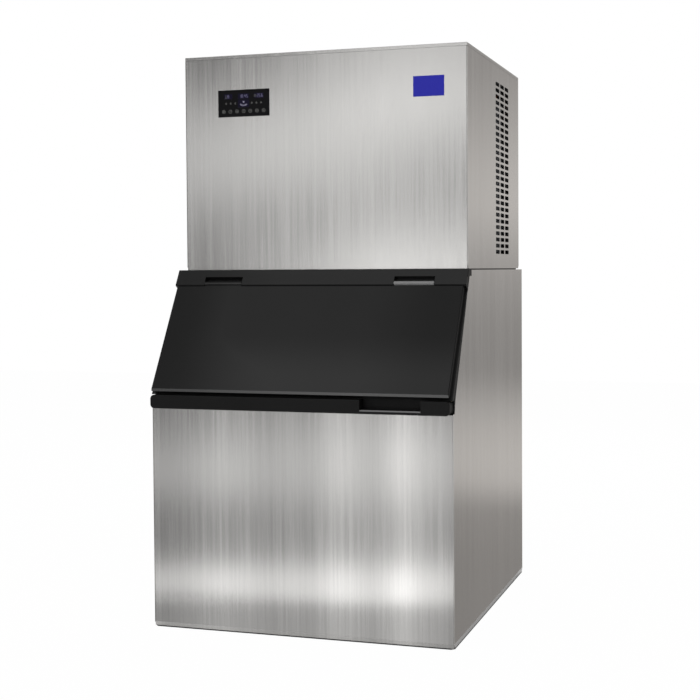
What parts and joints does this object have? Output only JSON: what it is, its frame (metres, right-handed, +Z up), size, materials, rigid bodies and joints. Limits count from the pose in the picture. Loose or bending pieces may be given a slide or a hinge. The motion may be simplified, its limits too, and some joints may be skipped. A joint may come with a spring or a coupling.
{
  "type": "ice cube machine",
  "caption": "Free-standing stainless ice cube machine: a modular ice maker head with slotted sides on an insulated bin with a sloping black lift-up door.",
  "frame": {"origin": "centre of the bin's footprint, on the floor", "axes": "+Z up, -Y towards the user (door side), +X to the user's right"},
  "size_m": [0.762, 0.8784, 1.426],
  "materials": {
    "stainless": "brushed, vertical grain",
    "head_stainless": "brushed, vertical grain",
    "black_moulding": "satin moulded",
    "door_black": "satin moulded",
    "black_base": "powder coated",
    "white_plastic": "food-grade, smooth",
    "foam": "cut foam",
    "black_rubber": "matte",
    "panel_black": "glossy",
    "badge_blue": "glossy",
    "circuit_green": "solder mask",
    "pin_steel": "turned",
    "nickel": "plated",
    "copper": "drawn",
    "compressor_black": "gloss enamel",
    "fin_aluminium": "mill",
    "galvanised": "galvanised",
    "valve_plastic": "moulded"
  },
  "bodies": {
    "cabinet": {"badge_plate": "badge_blue", "base_pan": "black_base", "bin_back_panel": "stainless", "bin_drain_fitting": "valve_plastic", "bin_front_panel": "stainless", "bin_insulation": "foam", "bin_left_panel": "stainless", "bin_liner": "white_plastic", "bin_right_panel": "stainless", "bin_top_rim": "white_plastic", "compartment_wall": "white_plastic", "compressor": "compressor_black", "compressor_feet": "black_rubber", "condenser_coil": "fin_aluminium", "control_board": "circuit_green", "control_box": "galvanised", "control_box_lid": "galvanised", "control_main_board": "circuit_green", "control_panel": "panel_black", "cord_gland": "black_rubber", "door_frame": "black_moulding", "door_hinge_pins": "pin_steel", "drain_strainer": "valve_plastic", "dump_drain_stub": "valve_plastic", "evaporator_coil": "copper", "evaporator_end_frames": "white_plastic", "evaporator_grid": "nickel", "fan_motor": "compressor_black", "fan_shroud": "galvanised", "filter_drier": "copper", "float_switch": "valve_plastic", "head_back_panel": "head_stainless", "head_base_pan": "galvanised", "head_front_panel": "head_stainless", "head_gasket": "black_rubber", "head_left_panel": "head_stainless", "head_right_panel": "head_stainless", "head_top_cover": "head_stainless", "hot_gas_valve": "compressor_black", "ice_level_sensor": "pin_steel", "probe_bracket": "white_plastic", "refrigerant_tubes": "copper", "suction_accumulator": "compressor_black", "water_distributor": "white_plastic", "water_inlet_valve": "valve_plastic", "water_pump": "compressor_black", "water_riser": "black_rubber", "water_trough": "white_plastic"},
    "bin_door": {"door_shell": "door_black", "door_inner_panel": "white_plastic", "door_foam": "foam", "door_gasket": "black_rubber"},
    "curtain": {"water_curtain": "white_plastic"},
    "fan": {"fan_blade": "fin_aluminium"},
    "impeller": {"pump_impeller": "valve_plastic"},
    "float": {"float_ball": "white_plastic"},
    "probe": {"thickness_probe": "white_plastic"}
  },
  "joints": [
    {"name": "door_hinge", "type": "hinge", "parent": "cabinet", "child": "bin_door", "pos_m": [0, -0.27472, 0.84599], "axis": [-1, 0, 0], "range_deg": [0, 148]},
    {"name": "curtain_swing", "type": "hinge", "parent": "cabinet", "child": "curtain", "pos_m": [0, -0.066, 1.368], "axis": [-1, 0, 0], "range_deg": [0, 22]},
    {"name": "fan_spin", "type": "hinge", "parent": "cabinet", "child": "fan", "pos_m": [0.25, 0.2, 1.135], "axis": [1, 0, 0], "continuous": true},
    {"name": "impeller_spin", "type": "hinge", "parent": "cabinet", "child": "impeller", "pos_m": [0.3, 0.014, 0.98], "axis": [0, 0, 1], "continuous": true},
    {"name": "float_slide", "type": "slide", "parent": "cabinet", "child": "float", "axis": [0, 0, 1], "range_m": [0, 0.012]},
    {"name": "probe_swing", "type": "hinge", "parent": "cabinet", "child": "probe", "pos_m": [0.15, -0.045, 1.3543], "axis": [-1, 0, 0], "range_deg": [0, 10]}
  ]
}
